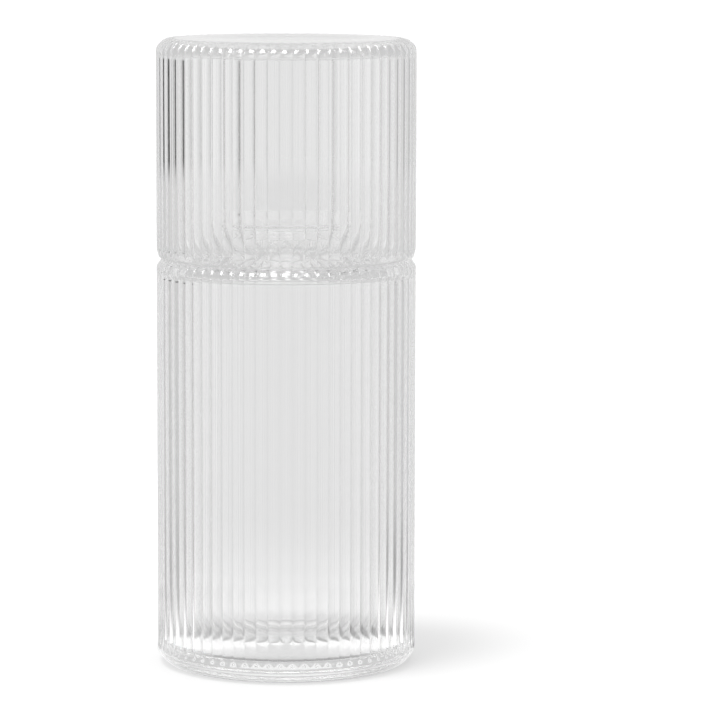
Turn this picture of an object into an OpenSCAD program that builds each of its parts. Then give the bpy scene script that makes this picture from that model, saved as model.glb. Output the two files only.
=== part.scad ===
// A bedside carafe with its own tumbler, both of clear blown glass with upright ribs.
// The tumbler stands upside down over the carafe's neck and rests on its shoulder,
// so it is the lid as well as the glass.
// Millimetres. The carafe stands on z = 0, and both glasses share the z axis.

/* [Both glasses] */
// Diameter over the crests of the ribs
glass_d = 84; // [74:1:100]
// Ribs round each glass
rib_count = 68; // [40:1:80]
// Depth of the grooves between the ribs
rib_depth = 0.38; // [0.2:0.02:0.7]
// Rise of the grooves' floors above the smooth glass at foot, shoulder and lip
groove_rise = 0.1; // [0.05:0.01:0.2]
// Gap left where the tumbler's lip rests on the carafe's shoulder
seat_gap = 0.05; // [0.02:0.01:0.2]

/* [Carafe body] */
// Height from the table to where the shoulder starts to turn in
side_h = 129.5; // [90:0.5:180]
// Body wall, measured at the crest of a rib
body_wall = 3.4; // [2:0.1:5]
// Outside rounding of the shoulder
shoulder_r = 3.5; // [2.5:0.1:6]
// Inside rounding under the shoulder
shoulder_inner_r = 2.5; // [1:0.1:5]
// Width of the flat ring inside the shoulder's rounding, before it slopes up to the neck
shoulder_land = 1.5; // [0.5:0.5:4]
// Slope of the shoulder up to the neck, in degrees
shoulder_slope = 27; // [10:1:40]
// Outside rounding of the foot
foot_r = 5; // [3:0.5:8]
// Glass at the bottom of the body
floor_t = 6.9; // [4:0.1:9]
// Inside rounding between the floor and the wall
floor_inner_r = 2; // [1:0.5:9]
// Diameter of the shallow hollow under the foot
hollow_d = 58; // [40:1:64]
// Depth of the hollow under the foot
hollow_depth = 0.6; // [0.3:0.1:2]

/* [Carafe neck] */
// Outside diameter of the neck
neck_d = 37.2; // [28:0.2:52]
// Wall of the neck
neck_wall = 2; // [1.4:0.1:3.4]
// Hollow rounding where the neck rises from the shoulder
neck_root_r = 4; // [2:0.5:8]
// Room between the neck's rim and the tumbler's upturned bottom
neck_headroom = 2; // [1:0.2:16]

/* [Tumbler] */
// Height of the tumbler, from its lip to its foot
tumbler_h = 70.8; // [50:0.1:110]
// Wall at the lip, measured at the crest of a rib
tumbler_wall = 3; // [1.6:0.1:4]
// Glass at the bottom of the tumbler
tumbler_floor_t = 2.9; // [2:0.1:7]
// Outside rounding of the tumbler's foot
tumbler_foot_r = 4; // [2:0.5:6]
// Inside rounding between the tumbler's bottom and its wall
tumbler_inner_r = 2.5; // [2:0.5:8]
// Diameter of the shallow hollow in the tumbler's foot
tumbler_hollow_d = 56; // [40:1:64]
// Depth of the hollow in the tumbler's foot
tumbler_hollow_depth = 0.9; // [0.4:0.1:1.6]

/* [Hidden] */
$fn = 120;

glass_colour = [0.86, 0.91, 0.92, 0.4];

// Length that cuts and blanks run past the faces they meet
overrun = 1;
// Flat steps that draw the shallow dome of a hollow foot
dome_steps = 8;

glass_r = glass_d / 2;
smooth_r = glass_r - rib_depth - groove_rise;

// Ribs: each is an arc through a crest and the two valleys beside it
valley_r = glass_r - rib_depth;
half_pitch = 180 / rib_count;
rib_centre_r = (pow(glass_r, 2) - pow(valley_r, 2)) / (2 * (glass_r - valley_r * cos(half_pitch)));
rib_r = glass_r - rib_centre_r;

// Carafe
body_inner_r = glass_r - body_wall;
shoulder_z = side_h + shoulder_r;
ceiling_z = shoulder_z - body_wall;
slope_start_r = smooth_r - shoulder_r - shoulder_land;
neck_r = neck_d / 2;
bore_r = neck_r - neck_wall;

// The neck's root is an arc that touches the neck and the shoulder's slope
root_r = neck_r + neck_root_r;
root_z = shoulder_z + (slope_start_r - root_r) * tan(shoulder_slope) + neck_root_r / cos(shoulder_slope);
throat_r = neck_root_r + body_wall;
inner_slope_start_r = slope_start_r - body_wall * tan(shoulder_slope / 2);

// The lip is a full round that touches the shoulder's rounding, but for the gap
tumbler_inner_wall_r = glass_r - tumbler_wall;
lip_r = (smooth_r - tumbler_inner_wall_r) / 2;
lip_centre_r = smooth_r - lip_r;
lip_offset = shoulder_r - lip_r;
lip_centre_z = side_h + sqrt(pow(shoulder_r + lip_r + seat_gap, 2) - pow(lip_offset, 2));
lip_z = lip_centre_z - lip_r;
tumbler_top_z = lip_z + tumbler_h;
tumbler_ceiling_z = tumbler_top_z - tumbler_floor_t;
rim_z = tumbler_ceiling_z - neck_headroom;

// Cross-section over the ribs
module ribbed_section() {
    circle(r = rib_centre_r);
    for (i = [0 : rib_count - 1])
        rotate(i * 2 * half_pitch) translate([rib_centre_r, 0]) circle(r = rib_r);
}

// Half outline of a rounded block from z = low to high: radius r, with its own
// rounding at the bottom and at the top
module rounded_half(r, low, high, low_r, high_r) {
    translate([0, low + low_r]) square([r, high - low - low_r - high_r]);
    translate([0, low]) square([r - low_r, low_r + overrun]);
    translate([0, high - high_r - overrun]) square([r - high_r, high_r + overrun]);
    translate([r - low_r, low + low_r]) circle(r = low_r);
    translate([r - high_r, high - high_r]) circle(r = high_r);
}

// Half outline of the shallow dome that hollows a foot of diameter d by depth
module foot_hollow_half(d, depth) {
    dome_r = (pow(d / 2, 2) + pow(depth, 2)) / (2 * depth);
    dome_angle = asin(d / 2 / dome_r);
    arc = [for (i = [0 : dome_steps]) let (a = dome_angle * i / dome_steps)
        [dome_r * sin(a), dome_r * cos(a) - dome_r + depth]];
    polygon(concat([[0, -overrun]], arc, [[d / 2, -overrun]]));
}

// Ribs from z = low to high
module ribs(low, high) {
    translate([0, 0, low]) linear_extrude(high - low) ribbed_section();
}

// Outside of the carafe's body
module body_outside() {
    rotate_extrude() rounded_half(smooth_r, 0, shoulder_z, foot_r, shoulder_r);
    ribs(foot_r, side_h);
}

// Half outline under an arc of radius r round the root's centre and under the slope that
// touches it, from the axis to start_r and from z = low; level is where the slope starts
module sloped_half(r, start_r, low, level) {
    touch_r = root_r - r * sin(shoulder_slope);
    touch_z = root_z - r * cos(shoulder_slope);
    difference() {
        polygon([[0, low], [start_r, low], [start_r, level], [touch_r, touch_z], [root_r - r, root_z], [0, root_z]]);
        translate([root_r, root_z]) circle(r = r);
    }
}

// Neck with its root and its fire-polished rim
module neck_outside() {
    rotate_extrude() {
        translate([0, ceiling_z]) square([neck_r, rim_z - neck_wall / 2 - ceiling_z]);
        translate([0, ceiling_z]) square([neck_r - neck_wall / 2, rim_z - ceiling_z]);
        translate([neck_r - neck_wall / 2, rim_z - neck_wall / 2]) circle(r = neck_wall / 2);
        sloped_half(neck_root_r, slope_start_r, ceiling_z, shoulder_z);
    }
}

// Half outline of the space inside the carafe: body, throat and bore
module carafe_inside_half() {
    rounded_half(body_inner_r, floor_t, ceiling_z, floor_inner_r, shoulder_inner_r);
    sloped_half(throat_r, inner_slope_start_r, ceiling_z - overrun, ceiling_z);
    translate([0, ceiling_z]) square([bore_r, rim_z - ceiling_z + overrun]);
    difference() {
        translate([0, rim_z - neck_wall / 2]) square([neck_r - neck_wall / 2, neck_wall / 2 + overrun]);
        translate([neck_r - neck_wall / 2, rim_z - neck_wall / 2]) circle(r = neck_wall / 2);
    }
}

module carafe() {
    color(glass_colour) difference() {
        union() {
            body_outside();
            neck_outside();
        }
        rotate_extrude() carafe_inside_half();
        rotate_extrude() foot_hollow_half(hollow_d, hollow_depth);
    }
}

// Half outline of the space inside the tumbler, opening downwards past its lip
module tumbler_inside_half() {
    rounded_half(tumbler_inner_wall_r, lip_z - 2 * lip_r, tumbler_ceiling_z, lip_r, tumbler_inner_r);
    difference() {
        translate([0, lip_z - overrun]) square([lip_centre_r, lip_r + overrun]);
        translate([lip_centre_r, lip_centre_z]) circle(r = lip_r);
    }
}

module tumbler() {
    color(glass_colour) difference() {
        union() {
            rotate_extrude() rounded_half(smooth_r, lip_z, tumbler_top_z, lip_r, tumbler_foot_r);
            ribs(lip_centre_z, tumbler_top_z - tumbler_foot_r);
        }
        rotate_extrude() tumbler_inside_half();
        translate([0, 0, tumbler_top_z]) mirror([0, 0, 1])
            rotate_extrude() foot_hollow_half(tumbler_hollow_d, tumbler_hollow_depth);
    }
}

carafe();
tumbler();
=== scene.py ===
import math
import bpy
import mathutils
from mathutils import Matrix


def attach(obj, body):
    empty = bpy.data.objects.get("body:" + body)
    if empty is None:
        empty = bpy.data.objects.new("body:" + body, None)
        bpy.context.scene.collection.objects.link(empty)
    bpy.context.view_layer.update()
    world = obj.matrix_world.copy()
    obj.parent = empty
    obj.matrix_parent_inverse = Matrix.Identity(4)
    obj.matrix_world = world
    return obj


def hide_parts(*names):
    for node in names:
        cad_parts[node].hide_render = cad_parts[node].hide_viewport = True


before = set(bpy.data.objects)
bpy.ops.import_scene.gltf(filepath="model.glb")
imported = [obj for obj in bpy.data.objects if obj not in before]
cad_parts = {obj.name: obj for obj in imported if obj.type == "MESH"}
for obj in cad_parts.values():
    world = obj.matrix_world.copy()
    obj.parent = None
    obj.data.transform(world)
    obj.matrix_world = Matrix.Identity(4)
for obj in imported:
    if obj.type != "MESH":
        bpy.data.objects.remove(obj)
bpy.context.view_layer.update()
print("frame loaded, CAD nodes:", ", ".join(sorted(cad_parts)))

mm = 0.001
nodeStep = (190, 170)           # room for one node in the node editor


# small helpers for node trees

def addNode(tree, kind, place, label=None, **settings):
    # place counts columns to the right and rows down
    node = tree.nodes.new(kind)
    node.location = (place[0] * nodeStep[0], -place[1] * nodeStep[1])
    if label:
        node.label = label
    for name, value in settings.items():
        setattr(node, name, value)
    return node


def joinSockets(tree, *pairs):
    for source, target in pairs:
        tree.links.new(source, target)


def addMath(tree, operation, place, first, second=None, third=None):
    # each operand is a number or another node's output
    node = addNode(tree, "ShaderNodeMath", place, operation=operation)
    for socket, operand in zip(node.inputs, (first, second, third)):
        if operand is None:
            continue
        if isinstance(operand, (int, float)):
            socket.default_value = operand
        else:
            tree.links.new(operand, socket)
    return node.outputs[0]


def addMix(tree, place, factor, first, second):
    # a number between first and second, each a number or another node's output
    node = addNode(tree, "ShaderNodeMix", place, data_type="FLOAT")
    joinSockets(tree, (factor, node.inputs["Factor"]))
    for name, operand in (("A", first), ("B", second)):
        if isinstance(operand, (int, float)):
            node.inputs[name].default_value = operand
        else:
            tree.links.new(operand, node.inputs[name])
    return node.outputs[0]


def addRange(tree, place, value, fromRange, toRange):
    node = addNode(tree, "ShaderNodeMapRange", place, interpolation_type="SMOOTHSTEP")
    for name, number in zip(("From Min", "From Max", "To Min", "To Max"), (*fromRange, *toRange)):
        node.inputs[name].default_value = number
    joinSockets(tree, (value, node.inputs["Value"]))
    return node.outputs[0]


def addTreeInput(tree, name, kind, value=None, low=None, high=None):
    socket = tree.interface.new_socket(name, in_out="INPUT", socket_type=kind)
    if value is not None:
        socket.default_value = value
    if low is not None:
        socket.min_value = low
    if high is not None:
        socket.max_value = high


# half cross-sections, drawn in millimetres as (radius, height, share of the rib depth)

samePoint = 1e-4                # points closer than this are one


def smoothStep(value, start, end):
    t = min(1.0, max(0.0, (value - start) / (end - start)))
    return t * t * (3 - 2 * t)


def spread(start, end, count):
    return [start + (end - start) * i / count for i in range(count + 1)]


class Profile:
    def __init__(self):
        self.points = []

    def add(self, radius, height, share=0.0):
        if self.points and math.dist(self.points[-1][:2], (radius, height)) < samePoint:
            return
        self.points.append((radius, height, share))

    def line(self, start, end, count, share=0.0):
        for t in spread(0, 1, count):
            self.add(start[0] + (end[0] - start[0]) * t, start[1] + (end[1] - start[1]) * t, share)

    def arc(self, centre, radius, fromAngle, toAngle, count, proud=None, share=None):
        # angles in degrees, 0 is outwards and 90 is up; proud and share are functions of the angle
        for angle in spread(fromAngle, toAngle, count):
            reach = radius + (proud(angle) if proud else 0)
            turn = math.radians(angle)
            r = centre[0] + reach * math.cos(turn)
            z = centre[1] + reach * math.sin(turn)
            self.add(r, z, share(angle) if share else 0.0)

    def toObject(self, name):
        # a line of vertices, with the way out of the glass and the rib share kept on each
        mesh = bpy.data.meshes.new(name)
        places = [(r * mm, 0, z * mm) for r, z, _ in self.points]
        mesh.from_pydata(places, [(i, i + 1) for i in range(len(places) - 1)], [])
        outward = []
        for i in range(len(places)):
            before = places[max(0, i - 1)]
            after = places[min(len(places) - 1, i + 1)]
            alongR, alongZ = after[0] - before[0], after[2] - before[2]
            length = math.hypot(alongR, alongZ)
            outward += [alongZ / length, 0, -alongR / length]
        outward[0:3] = [0, 0, -1]
        shares = [share for _, _, share in self.points]
        mesh.attributes.new("outward", "FLOAT_VECTOR", "POINT").data.foreach_set("vector", outward)
        mesh.attributes.new("ribShare", "FLOAT", "POINT").data.foreach_set("value", shares)
        made = bpy.data.objects.new(name, mesh)
        bpy.context.scene.collection.objects.link(made)
        return made


# the carafe, drawn from the middle of its foot, up the outside, over the rim and down the inside

carafeSizes = {
    "crest": 42.0,              # radius over the ribs
    "smooth": 41.52,            # radius where there are no ribs
    "sideTop": 129.5,
    "shoulderRound": 3.5,
    "footRound": 5.0,
    "ribStart": (5.4, 7.2),     # the ribs rise out of the smooth heel between these heights
    "ribEnd": (37.0, 29.0),     # and die out on the shoulder between these radii
    "heelFade": (-40, 0),       # the heel swells out to the crests between these angles
    "shoulderFade": (0, 36),    # and the shoulder goes back in between these
    "wall": 3.4,
    "floor": 6.9,
    "innerCorner": 2.0,
    "innerShoulder": 2.5,
    "hollowRadius": 29.0,
    "hollowDepth": 0.6,
    "neck": 18.6,
    "neckWall": 2.0,
    "land": 1.5,                # flat ring inside the shoulder's rounding
    "slope": 27,                # degrees that the shoulder rises at, up to the neck
    "neckRoot": 4.0,
    "neckRim": 198.4,
    "seed": 3,                  # for its ribs, waves and ripples
    # steps along each part, enough for a smooth outline
    "rows": {"hollow": 5, "heel": 10, "ribStart": 8, "side": 14, "shoulder": 9, "slope": 10, "root": 8,
             "neck": 6, "rim": 8, "innerShoulder": 6, "inside": 13, "innerCorner": 8, "floor": 4},
    "sideLine": (2.0, 3.5),     # the straight side's rows start this far from the ribs' start and top
    "lastRow": 1.5,             # one more row this far under the shoulder
    "afterRound": 1.0,          # upright rows start this far from a rounding
    "afterRoot": 3.0,           # and this far above the neck's root
    "floorLine": 3.0,           # the floor's rows start this far from its corner
}


def drawCarafe(s):
    p = Profile()
    rows = s["rows"]
    gap = s["afterRound"]
    proudest = s["crest"] - s["smooth"]

    # foot, heel and side
    for t in spread(0, 1, rows["hollow"]):
        p.add(s["hollowRadius"] * t, s["hollowDepth"] * (1 - t * t))
    footCentre = (s["smooth"] - s["footRound"], s["footRound"])
    p.arc(footCentre, s["footRound"], -90, 0, rows["heel"],
          proud=lambda a: proudest * smoothStep(a, *s["heelFade"]))
    low, high = s["ribStart"]
    for z in spread(low, high, rows["ribStart"]):
        p.add(s["crest"], z, smoothStep(z, low, high))
    sideLow = high + s["sideLine"][0]
    sideHigh = s["sideTop"] - s["sideLine"][1]
    p.line((s["crest"], sideLow), (s["crest"], sideHigh), rows["side"], share=1)
    p.add(s["crest"], s["sideTop"] - s["lastRow"], 1)

    # shoulder, and its slope up to the neck
    shoulderCentre = (s["smooth"] - s["shoulderRound"], s["sideTop"])
    p.arc(shoulderCentre, s["shoulderRound"], 0, 90, rows["shoulder"],
          proud=lambda a: proudest * (1 - smoothStep(a, *s["shoulderFade"])), share=lambda a: 1.0)
    top = s["sideTop"] + s["shoulderRound"]
    slope = math.radians(s["slope"])
    slopeStart = shoulderCentre[0] - s["land"]
    rootRadius = s["neck"] + s["neckRoot"]
    rootHeight = top + (slopeStart - rootRadius) * math.tan(slope) + s["neckRoot"] / math.cos(slope)
    rootCentre = (rootRadius, rootHeight)
    p.add(slopeStart + s["land"] / 2, top, 1)
    first, last = s["ribEnd"]
    for r in spread(slopeStart, rootRadius - s["neckRoot"] * math.sin(slope), rows["slope"]):
        p.add(r, top + (slopeStart - r) * math.tan(slope), 1 - smoothStep(-r, -first, -last))
    p.arc(rootCentre, s["neckRoot"], 270 - s["slope"], 180, rows["root"])

    # neck, rim and bore
    rimRound = s["neckWall"] / 2
    bore = s["neck"] - s["neckWall"]
    rimLow = s["neckRim"] - rimRound
    neckLow = rootHeight + s["afterRoot"]
    p.line((s["neck"], neckLow), (s["neck"], rimLow - gap), rows["neck"])
    p.arc((s["neck"] - rimRound, rimLow), rimRound, 0, 180, rows["rim"])
    p.line((bore, rimLow - gap), (bore, neckLow), rows["neck"])

    # throat, inside of the body and its floor
    throat = s["neckRoot"] + s["wall"]
    throatStart = 180 + math.degrees(math.acos((rootRadius - bore) / throat))
    p.arc(rootCentre, throat, throatStart, 270 - s["slope"], rows["root"])
    inner = s["crest"] - s["wall"]
    ceiling = top - s["wall"]
    slopeLow = (rootRadius - throat * math.sin(slope), rootHeight - throat * math.cos(slope))
    slopeHigh = (slopeStart - s["wall"] * math.tan(slope / 2), ceiling)
    p.line(slopeLow, slopeHigh, rows["innerShoulder"])
    cornerCentre = (inner - s["innerShoulder"], ceiling - s["innerShoulder"])
    p.arc(cornerCentre, s["innerShoulder"], 90, 0, rows["innerShoulder"])
    floorCentre = (inner - s["innerCorner"], s["floor"] + s["innerCorner"])
    for z in spread(cornerCentre[1] - gap, floorCentre[1] + gap, rows["inside"]):
        p.add(inner, z)
    p.arc(floorCentre, s["innerCorner"], 0, -90, rows["innerCorner"])
    p.line((floorCentre[0] - s["floorLine"], s["floor"]), (0, s["floor"]), rows["floor"])
    return p.toObject("carafeProfile")


# the tumbler, drawn from the middle of its inside, down to the lip and up the ribbed outside

tumblerSizes = {
    "crest": 42.0,
    "smooth": 41.52,
    "lipCentre": (40.26, 133.757),
    "lipRound": 1.26,
    "top": 203.297,
    "topRound": 4.0,
    "ribStart": (133.9, 136.2),  # the ribs rise out of the lip between these heights
    "ribEnd": (38.4, 35.6),     # and die out on the foot between these radii
    "lipFade": 0.4,             # the lip swells out to the crests this much lower than the ribs start
    "cornerFade": (0, 50),      # the corner goes back in between these angles
    "cornerDeeper": 0.7,        # the ribs are that much deeper round the corner
    "deeperFrom": (0, 40),      # from one of these angles to the other
    "inner": 39.0,
    "ceiling": 200.4,
    "innerCorner": 2.5,
    "hollowRadius": 28.0,
    "hollowDepth": 0.9,
    "seed": 11,
    "rows": {"ceiling": 4, "innerCorner": 8, "inside": 18, "lip": 10, "ribStart": 6, "side": 15,
             "corner": 14, "foot": 4, "hollow": 5},
    # how far from a rounding the straight rows start: on the ceiling, high on the inside and over the lip,
    "afterRound": (3.0, 1.0, 1.5),
    "sideLine": (1.5, 2.5),     # on the side over the ribs' start and under the corner,
    "footLine": (0.4, 3.0),     # and on the foot after the corner and before the hollow
}


def drawTumbler(s):
    p = Profile()
    rows = s["rows"]
    proudest = s["crest"] - s["smooth"]
    corner = s["innerCorner"]
    inner, ceiling = s["inner"], s["ceiling"]
    ceilingGap, wallGap, lipGap = s["afterRound"]

    # inside, and the lip
    p.line((0, ceiling), (inner - corner - ceilingGap, ceiling), rows["ceiling"])
    p.arc((inner - corner, ceiling - corner), corner, 90, 0, rows["innerCorner"])
    lipRadius, lipHeight = s["lipCentre"]
    for z in spread(ceiling - corner - wallGap, lipHeight + lipGap, rows["inside"]):
        p.add(inner, z)
    p.arc((lipRadius, lipHeight), s["lipRound"], 180, 360, rows["lip"])

    # outside, with the corner at the foot
    low, high = s["ribStart"]
    for z in spread(low, high, rows["ribStart"]):
        swell = smoothStep(z, low - s["lipFade"], high - s["lipFade"])
        p.add(s["smooth"] + proudest * swell, z, smoothStep(z, low, high))
    cornerCentre = (s["smooth"] - s["topRound"], s["top"] - s["topRound"])
    sideLow = high + s["sideLine"][0]
    sideHigh = cornerCentre[1] - s["sideLine"][1]
    p.line((s["crest"], sideLow), (s["crest"], sideHigh), rows["side"], share=1)
    first, last = s["ribEnd"]

    def cornerProud(angle):
        return proudest * (1 - smoothStep(angle, *s["cornerFade"]))

    def cornerShare(angle):
        r = cornerCentre[0] + s["topRound"] * math.cos(math.radians(angle))
        return (1 + s["cornerDeeper"] * smoothStep(angle, *s["deeperFrom"])) * smoothStep(r, last, first)

    p.arc(cornerCentre, s["topRound"], 0, 90, rows["corner"], proud=cornerProud, share=cornerShare)
    for r in spread(cornerCentre[0] - s["footLine"][0], last, rows["foot"]):
        p.add(r, s["top"], (1 + s["cornerDeeper"]) * smoothStep(r, last, first))
    p.add(s["hollowRadius"] + s["footLine"][1], s["top"])
    for t in spread(1, 0, rows["hollow"]):
        p.add(s["hollowRadius"] * t, s["top"] - s["hollowDepth"] * (1 - t * t))
    return p.toObject("tumblerProfile")


# one tree sweeps a profile round the axis and presses the ribs into it

ribSizes = {
    "count": 68,
    "columns": 10,              # corners round each rib
    "depth": 0.38,
    "fullness": 0.93,           # sine of the angle that half a rib's arc turns through
    "variation": 0.45,          # how much one rib's depth differs from the next
    "waveHeight": 0.06,         # hand-blown unevenness of the glass
    "waveSize": 30.0,
    "waveStretch": (1, 1, 0.3),  # the waves are longer up and down than round the glass
    "mergeWithin": 0.002,       # the grid's two edges and its rows on the axis close up
}


def makeRibbedGlassTree():
    tree = bpy.data.node_groups.new("ribbedGlass", "GeometryNodeTree")
    tree.is_modifier = True
    tree.interface.new_socket("Profile", in_out="INPUT", socket_type="NodeSocketGeometry")
    addTreeInput(tree, "Rib Count", "NodeSocketInt", 68, 3, 200)
    addTreeInput(tree, "Columns Per Rib", "NodeSocketInt", 10, 4, 24)
    addTreeInput(tree, "Rib Depth", "NodeSocketFloat", 0.0005, 0, 0.01)
    addTreeInput(tree, "Rib Fullness", "NodeSocketFloat", 0.5, 0.05, 0.99)
    addTreeInput(tree, "Rib Variation", "NodeSocketFloat", 0.1, 0, 1)
    addTreeInput(tree, "Wave Height", "NodeSocketFloat", 0.0001, 0, 0.01)
    addTreeInput(tree, "Wave Size", "NodeSocketFloat", 0.025, 0.001, 1)
    addTreeInput(tree, "Seed", "NodeSocketInt", 1)
    addTreeInput(tree, "Glass", "NodeSocketMaterial")
    tree.interface.new_socket("Geometry", in_out="OUTPUT", socket_type="NodeSocketGeometry")
    given = addNode(tree, "NodeGroupInput", (0, 0)).outputs

    # a grid with one row for each point of the profile and one column for each step round
    sizes = addNode(tree, "GeometryNodeAttributeDomainSize", (1, 0))
    joinSockets(tree, (given["Profile"], sizes.inputs[0]))
    rows = sizes.outputs["Point Count"]
    columns = addMath(tree, "MULTIPLY", (1, 1), given["Rib Count"], given["Columns Per Rib"])
    grid = addNode(tree, "GeometryNodeMeshGrid", (3, 0))
    grid.inputs["Size X"].default_value = 1
    grid.inputs["Size Y"].default_value = 1
    joinSockets(tree,
                (addMath(tree, "ADD", (2, 1), columns, 1), grid.inputs["Vertices X"]),
                (rows, grid.inputs["Vertices Y"]))
    gridPlace = addNode(tree, "GeometryNodeInputPosition", (3, 2)).outputs[0]
    split = addNode(tree, "ShaderNodeSeparateXYZ", (4, 2))
    joinSockets(tree, (gridPlace, split.inputs[0]))
    acrossGrid = addMath(tree, "ADD", (5, 3), split.outputs["X"], 0.5)
    upGrid = addMath(tree, "ADD", (5, 5), split.outputs["Y"], 0.5)
    lastRow = addMath(tree, "SUBTRACT", (4, 4), rows, 1)
    column = addMath(tree, "ROUND", (6, 2), addMath(tree, "MULTIPLY", (5, 2), acrossGrid, columns))
    row = addMath(tree, "ROUND", (6, 4), addMath(tree, "MULTIPLY", (5, 4), upGrid, lastRow))

    def readProfile(kind, value, place):
        node = addNode(tree, "GeometryNodeSampleIndex", place, data_type=kind, domain="POINT")
        joinSockets(tree,
                    (given["Profile"], node.inputs["Geometry"]),
                    (value, node.inputs["Value"]),
                    (row, node.inputs["Index"]))
        return node.outputs[0]

    def readNamed(name, kind, place):
        node = addNode(tree, "GeometryNodeInputNamedAttribute", place, data_type=kind)
        node.inputs["Name"].default_value = name
        return node.outputs["Attribute"]

    point = readProfile("FLOAT_VECTOR", gridPlace, (8, 4))
    outward = readProfile("FLOAT_VECTOR", readNamed("outward", "FLOAT_VECTOR", (7, 6)), (8, 6))
    share = readProfile("FLOAT", readNamed("ribShare", "FLOAT", (7, 8)), (8, 8))

    # where this column is in its rib: 0 on the crest, 1 and -1 in the grooves
    along = addMath(tree, "DIVIDE", (7, 1), column, given["Columns Per Rib"])
    ribNumber = addMath(tree, "ROUND", (8, 1), along)
    fromCrest = addMath(tree, "SUBTRACT", (9, 1), along, ribNumber)
    # the columns crowd towards the grooves, where the glass bends most
    across = addMath(tree, "SINE", (10, 2), addMath(tree, "MULTIPLY", (10, 1), fromCrest, math.pi))

    # depth of a round rib there: its arc, scaled so that the groove is Rib Depth deep
    def arcDrop(sine, place):
        right, down = place
        square = addMath(tree, "MULTIPLY", place, sine, sine)
        cosineSquare = addMath(tree, "SUBTRACT", (right + 1, down), 1, square)
        cosine = addMath(tree, "SQRT", (right + 1, down + 1), cosineSquare)
        return addMath(tree, "SUBTRACT", (right + 2, down), 1, cosine)

    here = arcDrop(addMath(tree, "MULTIPLY", (11, 1), across, given["Rib Fullness"]), (12, 1))
    drop = addMath(tree, "DIVIDE", (15, 1), here, arcDrop(given["Rib Fullness"], (12, 3)))
    random = addNode(tree, "FunctionNodeRandomValue", (11, 5), data_type="FLOAT")
    wrapped = addMath(tree, "MODULO", (9, 0), ribNumber, given["Rib Count"])
    joinSockets(tree, (wrapped, random.inputs["ID"]), (given["Seed"], random.inputs["Seed"]))
    less = addMath(tree, "MULTIPLY", (12, 5), random.outputs["Value"], given["Rib Variation"])
    uneven = addMath(tree, "SUBTRACT", (13, 5), 1, less)
    # the groove between two ribs is as deep for both, so the change fades towards it
    kept = addMix(tree, (14, 5), addMath(tree, "MULTIPLY", (12, 6), across, across), uneven, 1)
    fullDepth = addMath(tree, "MULTIPLY", (16, 3), given["Rib Depth"], share)
    depth = addMath(tree, "MULTIPLY", (17, 2), addMath(tree, "MULTIPLY", (16, 2), drop, kept), fullDepth)

    # turn the profile to its column
    ribPlace = addMath(tree, "MULTIPLY_ADD", (11, 3), across, 0.5, ribNumber)
    partOfTurn = addMath(tree, "DIVIDE", (12, 3), ribPlace, given["Rib Count"])
    turn = addMath(tree, "MULTIPLY", (13, 3), partOfTurn, math.tau)

    def turned(vector, place):
        node = addNode(tree, "ShaderNodeVectorRotate", place, rotation_type="Z_AXIS")
        joinSockets(tree, (vector, node.inputs["Vector"]), (turn, node.inputs["Angle"]))
        return node.outputs[0]

    spot = turned(point, (10, 4))
    away = turned(outward, (10, 6))

    # slow waves
    wave = addNode(tree, "ShaderNodeTexNoise", (14, 7), noise_dimensions="4D")
    wave.inputs["Detail"].default_value = 0
    stretched = addNode(tree, "ShaderNodeVectorMath", (12, 7), operation="MULTIPLY")
    stretched.inputs[1].default_value = ribSizes["waveStretch"]
    joinSockets(tree,
                (spot, stretched.inputs[0]),
                (stretched.outputs[0], wave.inputs["Vector"]),
                (addMath(tree, "DIVIDE", (13, 8), 1, given["Wave Size"]), wave.inputs["Scale"]),
                (given["Seed"], wave.inputs["W"]))
    # no waves on the axis, at the foot's flat ring or where the glasses meet
    flat = addNode(tree, "ShaderNodeSeparateXYZ", (12, 9))
    joinSockets(tree, (outward, flat.inputs[0]))
    upright = addMath(tree, "SUBTRACT", (14, 9), 1, addMath(tree, "ABSOLUTE", (13, 9), flat.outputs["Z"]))
    waveDepth = addMath(tree, "MULTIPLY", (16, 7), wave.outputs[0], given["Wave Height"])
    shift = addMath(tree, "MULTIPLY", (17, 7), waveDepth, upright)

    # the grooves go in against the outward direction, and so do the waves
    inward = addMath(tree, "ADD", (18, 4), depth, shift)
    move = addNode(tree, "ShaderNodeVectorMath", (19, 4), operation="SCALE")
    end = addNode(tree, "ShaderNodeVectorMath", (20, 4), operation="SUBTRACT")
    setPlace = addNode(tree, "GeometryNodeSetPosition", (21, 0))
    joinSockets(tree,
                (away, move.inputs[0]),
                (inward, move.inputs["Scale"]),
                (spot, end.inputs[0]),
                (move.outputs[0], end.inputs[1]),
                (grid.outputs["Mesh"], setPlace.inputs["Geometry"]),
                (end.outputs[0], setPlace.inputs["Position"]))

    merge = addNode(tree, "GeometryNodeMergeByDistance", (22, 0))
    merge.inputs["Distance"].default_value = ribSizes["mergeWithin"] * mm
    smooth = addNode(tree, "GeometryNodeSetShadeSmooth", (23, 0))
    realize = addNode(tree, "GeometryNodeRealizeInstances", (24, 0))
    finish = addNode(tree, "GeometryNodeSetMaterial", (25, 0))
    result = addNode(tree, "NodeGroupOutput", (26, 0))
    joinSockets(tree,
                (setPlace.outputs[0], merge.inputs[0]),
                (merge.outputs[0], smooth.inputs[0]),
                (smooth.outputs[0], realize.inputs[0]),
                (realize.outputs[0], finish.inputs["Geometry"]),
                (given["Glass"], finish.inputs["Material"]),
                (finish.outputs[0], result.inputs[0]))
    return tree


def setInputs(modifier, tree, values):
    for item in tree.interface.items_tree:
        if item.item_type == "SOCKET" and item.in_out == "INPUT" and item.name in values:
            modifier[item.identifier] = values[item.name]


def bakeToMesh(source, name):
    bpy.context.view_layer.update()
    evaluated = source.evaluated_get(bpy.context.evaluated_depsgraph_get())
    mesh = bpy.data.meshes.new_from_object(evaluated)
    mesh.name = name
    bpy.data.objects.remove(source)
    made = bpy.data.objects.new(name, mesh)
    bpy.context.scene.collection.objects.link(made)
    return made


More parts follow.
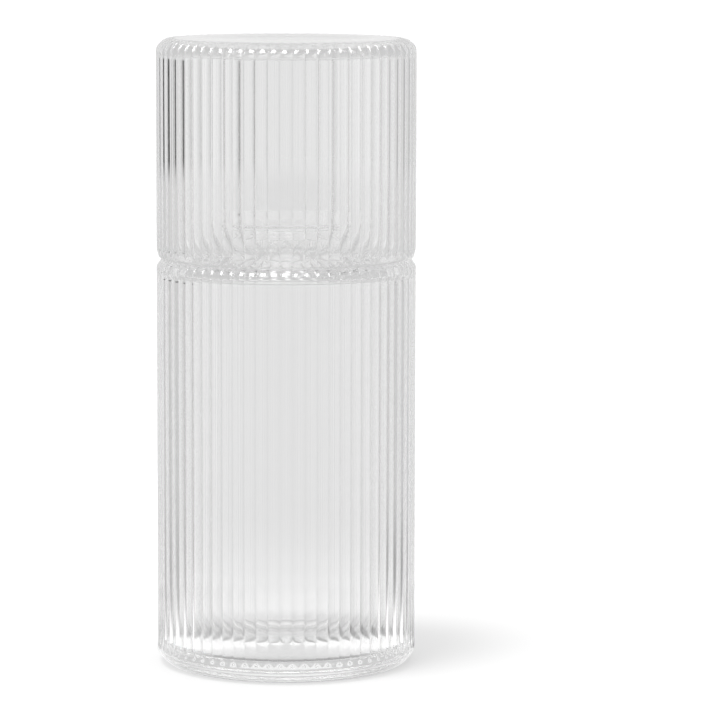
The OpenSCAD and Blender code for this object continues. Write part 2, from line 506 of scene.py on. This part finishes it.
def blowGlass(profile, name, material, seed):
    tree = bpy.data.node_groups.get("ribbedGlass") or makeRibbedGlassTree()
    modifier = profile.modifiers.new("ribs", "NODES")
    modifier.node_group = tree
    setInputs(modifier, tree, {
        "Rib Count": ribSizes["count"],
        "Columns Per Rib": ribSizes["columns"],
        "Rib Depth": ribSizes["depth"] * mm,
        "Rib Fullness": ribSizes["fullness"],
        "Rib Variation": ribSizes["variation"],
        "Wave Height": ribSizes["waveHeight"] * mm,
        "Wave Size": ribSizes["waveSize"] * mm,
        "Seed": seed,
        "Glass": material,
    })
    made = bakeToMesh(profile, name)
    print(name, "has", len(made.data.polygons), "faces")
    return made


# clear glass, the same for both

glassLook = {
    "colour": (0.985, 0.985, 0.985),
    "ior": 1.5,
    "shadow": 0.84,             # light that each surface lets through to the table
    "rippleSize": 22.0,         # millimetres
    "rippleStretch": (1, 1, 0.4),   # the ripple is drawn out along the axis, as the glass was
    "rippleDetail": 2,
    "rippleStrength": 0.001,
}


def grey(value):
    return (value, value, value, 1)


def newMaterialTree(name):
    material = bpy.data.materials.new(name)
    material.use_nodes = True
    material.node_tree.nodes.clear()
    return material, material.node_tree


def makeGlass(name, seed):
    material, tree = newMaterialTree(name)
    output = addNode(tree, "ShaderNodeOutputMaterial", (6, 0))
    glass = addNode(tree, "ShaderNodeBsdfPrincipled", (3, 0))
    glass.inputs["Base Color"].default_value = (*glassLook["colour"], 1)
    glass.inputs["Roughness"].default_value = 0
    glass.inputs["IOR"].default_value = glassLook["ior"]
    glass.inputs["Transmission Weight"].default_value = 1
    # a faint ripple
    where = addNode(tree, "ShaderNodeTexCoord", (-2, 1))
    stretch = addNode(tree, "ShaderNodeMapping", (-1, 1))
    stretch.inputs["Scale"].default_value = glassLook["rippleStretch"]
    ripple = addNode(tree, "ShaderNodeTexNoise", (0, 1), noise_dimensions="4D")
    ripple.inputs["Scale"].default_value = 1 / (glassLook["rippleSize"] * mm)
    ripple.inputs["Detail"].default_value = glassLook["rippleDetail"]
    ripple.inputs["W"].default_value = seed
    bump = addNode(tree, "ShaderNodeBump", (1, 1))
    bump.inputs["Strength"].default_value = glassLook["rippleStrength"]
    bump.inputs["Distance"].default_value = mm
    joinSockets(tree,
                (where.outputs["Object"], stretch.inputs["Vector"]),
                (stretch.outputs[0], ripple.inputs["Vector"]),
                (ripple.outputs[0], bump.inputs["Height"]),
                (bump.outputs[0], glass.inputs["Normal"]))
    # the sun shines through to the table
    lightPath = addNode(tree, "ShaderNodeLightPath", (3, -2))
    clear = addNode(tree, "ShaderNodeBsdfTransparent", (3, 4))
    clear.inputs["Color"].default_value = grey(glassLook["shadow"])
    choose = addNode(tree, "ShaderNodeMixShader", (5, 0))
    joinSockets(tree,
                (lightPath.outputs["Is Shadow Ray"], choose.inputs[0]),
                (glass.outputs[0], choose.inputs[1]),
                (clear.outputs[0], choose.inputs[2]),
                (choose.outputs[0], output.inputs["Surface"]))
    return material


carafeGlass = blowGlass(drawCarafe(carafeSizes), "carafeGlass",
                        makeGlass("carafeClear", carafeSizes["seed"]), carafeSizes["seed"])
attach(carafeGlass, "carafe")
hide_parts("carafe")

tumblerGlass = blowGlass(drawTumbler(tumblerSizes), "tumblerGlass",
                         makeGlass("tumblerClear", tumblerSizes["seed"]), tumblerSizes["seed"])
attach(tumblerGlass, "tumbler")
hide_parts("tumbler")
print("both glasses are blown")


# the room as the glass shows it
# directions round the glass are in degrees to the right of straight behind it, each with a brightness,
# and heights are the sine of the angle above level

roomLook = {
    "table": [(-180, 0.74), (-150, 0.76), (-125, 0.90), (-105, 1.35), (-80, 1.35), (-68, 0.46),
              (-40, 0.62), (-20, 0.86), (0, 0.98), (20, 0.86), (40, 0.66), (64, 0.50), (76, 1.35),
              (102, 1.35), (125, 0.90), (150, 0.76), (180, 0.74)],
    "walls": [(-180, 0.73), (-150, 0.74), (-125, 0.81), (-105, 0.96), (-86, 0.96), (-67, 0.84),
              (-65, 0.02), (-44, 0.02), (-42, 0.78), (-30, 0.74), (-28, 0.25), (-23, 0.25),
              (-21, 0.78), (0, 0.87), (20, 0.79), (36, 0.69), (46, 0.66), (48, 0.4), (55, 0.4),
              (57, 0.66), (72, 0.96), (102, 0.96), (125, 0.81), (150, 0.74), (180, 0.73)],
    "tableShade": [(-180, 1), (-74, 1), (-67, 0.6), (-58, 0.6), (-50, 1), (49, 1), (56, 0.1),
                   (66, 0.1), (75, 1), (180, 1)],
    "tableEdge": (-0.080, -0.068),  # the table ends here, and the walls start
    "tableNear": 1.35,          # the table is that much brighter close round the glass
    "nearFrom": (-0.45, -0.93),
    "shadeFrom": (-0.33, -0.6),  # tableShade dims the table from here down
    "stripEnd": (-0.03, 0.0),   # the dark strips of the walls end here
    "stripCover": 0.66,         # and above it the walls are at least this bright
    "ceiling": 0.60,
    "ceilingFrom": (0.02, 0.3),
    "diffuse": 0.34,            # an even light on surfaces that aren't glass
}


def seenBy(tree, place, *names):
    # 1 for the rays named, such as "Is Camera Ray"
    path = addNode(tree, "ShaderNodeLightPath", place)
    total = path.outputs[names[0]]
    for i, name in enumerate(names[1:]):
        total = addMath(tree, "MAXIMUM", (place[0] + 1 + i, place[1]), total, path.outputs[name])
    return total


def makeRoomGroup():
    # brightness of the room in one direction from the glass
    tree = bpy.data.node_groups.new("roomLight", "ShaderNodeTree")
    addTreeInput(tree, "Direction", "NodeSocketVector")
    tree.interface.new_socket("Brightness", in_out="OUTPUT", socket_type="NodeSocketFloat")
    given = addNode(tree, "NodeGroupInput", (0, 0)).outputs[0]
    unit = addNode(tree, "ShaderNodeVectorMath", (1, 0), operation="NORMALIZE")
    split = addNode(tree, "ShaderNodeSeparateXYZ", (2, 0))
    joinSockets(tree, (given, unit.inputs[0]), (unit.outputs[0], split.inputs[0]))
    height = split.outputs["Z"]
    turn = addMath(tree, "ARCTAN2", (3, 0), split.outputs["X"], split.outputs["Y"])
    where = addMath(tree, "MULTIPLY_ADD", (4, 0), turn, 1 / math.tau, 0.5)

    def addRamp(name, place):
        ramp = addNode(tree, "ShaderNodeValToRGB", place, name)
        joinSockets(tree, (where, ramp.inputs[0]))
        ramp.color_ramp.interpolation = "EASE"
        while len(ramp.color_ramp.elements) < len(roomLook[name]):
            ramp.color_ramp.elements.new(0.5)
        for element, (degrees, value) in zip(ramp.color_ramp.elements, roomLook[name]):
            element.position = 0.5 + degrees / 360
            element.color = grey(value)
        return ramp.outputs[0]

    table = addRamp("table", (5, 0))
    walls = addRamp("walls", (5, 2))
    tableShade = addRamp("tableShade", (5, 4))
    isNear = addRange(tree, (4, 7), height, roomLook["nearFrom"], (0, 1))
    nearTable = addMath(tree, "MULTIPLY", (5, 6), table, roomLook["tableNear"])
    near = addMix(tree, (6, 6), isNear, table, nearTable)
    isShaded = addRange(tree, (4, 9), height, roomLook["shadeFrom"], (0, 1))
    shade = addMix(tree, (6, 8), isShaded, 1, tableShade)
    least = addRange(tree, (4, 10), height, roomLook["stripEnd"], (0, roomLook["stripCover"]))
    isWall = addRange(tree, (4, 6), height, roomLook["tableEdge"], (0, 1))
    level = addMix(tree, (7, 2), isWall, addMath(tree, "MULTIPLY", (7, 7), near, shade),
                   addMath(tree, "MAXIMUM", (6, 4), walls, least))
    isCeiling = addRange(tree, (4, 2), height, roomLook["ceilingFrom"], (0, 1))
    result = addNode(tree, "NodeGroupOutput", (9, 0))
    joinSockets(tree, (addMix(tree, (8, 0), isCeiling, level, roomLook["ceiling"]), result.inputs[0]))
    return tree


def addRoom(tree, place, direction):
    room = addNode(tree, "ShaderNodeGroup", place)
    room.node_tree = bpy.data.node_groups["roomLight"]
    joinSockets(tree, (direction, room.inputs[0]))
    return room.outputs[0]


# the pale floor that the carafe stands on, in metres

floorLook = {
    "half": 14,
    "colour": 0.8,
    "glow": 0.46,               # added as the camera sees it, so that it is white
    "eye": (0, 0, 0.15),        # the glass looks at the room from here
    "even": 0.5,                # how much of the floor in the glass is free of shadows near it
    "evenFrom": (1.87, 2.2),    # all of it is from here on
    "footShade": 0.5,           # how much darker it is right at the foot
    "footRing": ((0.0362, 0.0368), (0.0373, 0.0379)),
    "frontShade": 0.5,          # and in front of the foot
    "frontReach": (0.07, 0.11),
    "frontSide": (-0.034, -0.02),
    "underGlow": 0.60,          # light added under the carafe
    "underReach": (0.031, 0.036),
}


def makeFloor():
    mesh = bpy.data.meshes.new("floor")
    half = floorLook["half"]
    corners = [(-half, -half, 0), (half, -half, 0), (half, half, 0), (-half, half, 0)]
    mesh.from_pydata(corners, [], [(0, 1, 2, 3)])
    floor = bpy.data.objects.new("floor", mesh)
    bpy.context.scene.collection.objects.link(floor)
    material, tree = newMaterialTree("paleFloor")
    output = addNode(tree, "ShaderNodeOutputMaterial", (9, 0))
    paint = addNode(tree, "ShaderNodeBsdfDiffuse", (6, 0))
    paint.inputs["Color"].default_value = grey(floorLook["colour"])

    # to the camera the floor is white, with the shadow on it
    glow = addNode(tree, "ShaderNodeEmission", (6, 2))
    both = addNode(tree, "ShaderNodeAddShader", (7, 0))
    toCamera = addMath(tree, "MULTIPLY", (5, 2), seenBy(tree, (3, 2), "Is Camera Ray"), floorLook["glow"])
    joinSockets(tree,
                (toCamera, glow.inputs["Strength"]),
                (paint.outputs[0], both.inputs[0]),
                (glow.outputs[0], both.inputs[1]))

    # in the glass it is lit like the room, from the glass's own place
    where = addNode(tree, "ShaderNodeTexCoord", (0, 5)).outputs["Object"]
    fromGlass = addNode(tree, "ShaderNodeVectorMath", (1, 5), operation="SUBTRACT")
    fromGlass.inputs[1].default_value = floorLook["eye"]
    length = addNode(tree, "ShaderNodeVectorMath", (1, 7), operation="LENGTH")
    split = addNode(tree, "ShaderNodeSeparateXYZ", (1, 9))
    joinSockets(tree, (where, fromGlass.inputs[0]), (where, length.inputs[0]), (where, split.inputs[0]))
    reach = length.outputs["Value"]
    room = addRoom(tree, (2, 5), fromGlass.outputs[0])

    # darker at the foot and in front of it, lighter under it
    ringInner, ringOuter = floorLook["footRing"]
    atFoot = addMath(tree, "MULTIPLY", (4, 7),
                     addRange(tree, (2, 7), reach, ringInner, (0, 1)),
                     addRange(tree, (3, 7), reach, ringOuter, (1, 0)))
    inFront = addMath(tree, "MULTIPLY", (4, 9),
                      addRange(tree, (2, 9), reach, floorLook["frontReach"], (1, 0)),
                      addRange(tree, (3, 9), split.outputs["Y"], floorLook["frontSide"], (1, 0)))
    footDark = addMath(tree, "MULTIPLY", (4, 8), atFoot, floorLook["footShade"])
    frontDark = addMath(tree, "MULTIPLY", (5, 9), inFront, floorLook["frontShade"])
    dark = addMath(tree, "MAXIMUM", (5, 8), footDark, frontDark)
    under = addRange(tree, (5, 10), reach, floorLook["underReach"], (1 + floorLook["underGlow"], 1))
    lit = addMath(tree, "SUBTRACT", (6, 7), under, dark)

    table = addNode(tree, "ShaderNodeEmission", (6, 4))
    part = addNode(tree, "ShaderNodeMixShader", (7, 3))
    shown = addNode(tree, "ShaderNodeMixShader", (8, 0))
    even = addRange(tree, (6, 6), reach, floorLook["evenFrom"], (floorLook["even"], 1))
    inGlass = seenBy(tree, (5, 5), "Is Glossy Ray", "Is Transmission Ray")
    joinSockets(tree,
                (addMath(tree, "MULTIPLY", (5, 6), room, lit), table.inputs["Strength"]),
                (even, part.inputs[0]),
                (paint.outputs[0], part.inputs[1]),
                (table.outputs[0], part.inputs[2]),
                (inGlass, shown.inputs[0]),
                (both.outputs[0], shown.inputs[1]),
                (part.outputs[0], shown.inputs[2]),
                (shown.outputs[0], output.inputs["Surface"]))
    mesh.materials.append(material)


def makeWorld():
    world = bpy.data.worlds.new("studio")
    bpy.context.scene.world = world
    world.use_nodes = True
    tree = world.node_tree
    tree.nodes.clear()
    output = addNode(tree, "ShaderNodeOutputWorld", (6, 0))
    background = addNode(tree, "ShaderNodeBackground", (5, 0))
    background.inputs["Color"].default_value = grey(1)
    direction = addNode(tree, "ShaderNodeTexCoord", (0, 0)).outputs["Generated"]
    room = addRoom(tree, (1, 0), direction)
    # the camera sees white, diffuse surfaces an even light, and the glass sees the room
    inGlass = seenBy(tree, (1, 2), "Is Glossy Ray", "Is Transmission Ray")
    plain = addMix(tree, (3, 0), inGlass, roomLook["diffuse"], room)
    white = addMix(tree, (4, 0), seenBy(tree, (2, 4), "Is Camera Ray"), plain, 1)
    joinSockets(tree,
                (white, background.inputs["Strength"]),
                (background.outputs[0], output.inputs["Surface"]))


# a square lamp above the tumbler, a little in front and to the left, that shows in the glass only

softbox = {
    "at": (-0.075, -0.17, 0.46),
    "aimAt": (0, 0, 0.2),
    "size": 0.20,
    "shine": 14,                # brightness where it mirrors in the outside of the glass
    "inside": 3.5,              # and where it is seen through the glass
}


def makeSoftbox():
    half = softbox["size"] / 2
    mesh = bpy.data.meshes.new("softbox")
    corners = [(-half, -half, 0), (-half, half, 0), (half, half, 0), (half, -half, 0)]
    mesh.from_pydata(corners, [], [(0, 1, 2, 3)])
    panel = bpy.data.objects.new("softbox", mesh)
    bpy.context.scene.collection.objects.link(panel)
    panel.location = softbox["at"]
    back = mathutils.Vector(softbox["at"]) - mathutils.Vector(softbox["aimAt"])
    panel.rotation_euler = back.to_track_quat("Z", "Y").to_euler()
    material, tree = newMaterialTree("softboxLight")
    output = addNode(tree, "ShaderNodeOutputMaterial", (4, 0))
    light = addNode(tree, "ShaderNodeEmission", (3, 0))
    through = seenBy(tree, (0, 0), "Is Transmission Ray")
    strength = addMix(tree, (2, 0), through, softbox["shine"], softbox["inside"])
    joinSockets(tree, (strength, light.inputs["Strength"]), (light.outputs[0], output.inputs["Surface"]))
    mesh.materials.append(material)
    panel.visible_camera = False
    panel.visible_diffuse = False
    panel.visible_shadow = False


# a wide soft sun, for the shadow on the floor

sun = {
    "from": (-0.19, -0.17, 1.0),
    "spread": 16,               # degrees across
    "power": 1.5,
}


def makeSun():
    data = bpy.data.lights.new("softSun", "SUN")
    data.energy = sun["power"]
    data.angle = math.radians(sun["spread"])
    lamp = bpy.data.objects.new("softSun", data)
    bpy.context.scene.collection.objects.link(lamp)
    lamp.rotation_euler = mathutils.Vector(sun["from"]).to_track_quat("Z", "Y").to_euler()
    lamp.visible_glossy = False
    lamp.visible_transmission = False


makeRoomGroup()
makeFloor()
makeWorld()
makeSoftbox()
makeSun()

view = {
    "distance": 1.230,          # metres
    "height": 0.2569,
    "lens": 190.75,             # millimetres, on a sensor 36 wide
    "sensor": 36,
    "pitch": 7.318,             # degrees down, to the right, and of roll
    "yaw": 1.115,
    "roll": 0.15,
    "bounces": 64,              # light has many surfaces to pass through ribbed glass
}


def makeCamera():
    data = bpy.data.cameras.new("camera")
    data.lens = view["lens"]
    data.sensor_width = view["sensor"]
    camera = bpy.data.objects.new("camera", data)
    bpy.context.scene.collection.objects.link(camera)
    aim = mathutils.Euler((math.radians(90 - view["pitch"]), 0, math.radians(-view["yaw"]))).to_matrix()
    aim = aim @ mathutils.Matrix.Rotation(math.radians(view["roll"]), 3, "Z")
    camera.rotation_euler = aim.to_euler()
    camera.location = (0, -view["distance"], view["height"])
    bpy.context.scene.camera = camera


makeCamera()
scene = bpy.context.scene
scene.view_settings.view_transform = "Standard"
scene.cycles.max_bounces = view["bounces"]
scene.cycles.transmission_bounces = view["bounces"]
scene.cycles.glossy_bounces = view["bounces"]
scene.cycles.transparent_max_bounces = view["bounces"]
scene.cycles.caustics_reflective = False
scene.cycles.caustics_refractive = False
print("studio is set, denoising", scene.cycles.use_denoising)
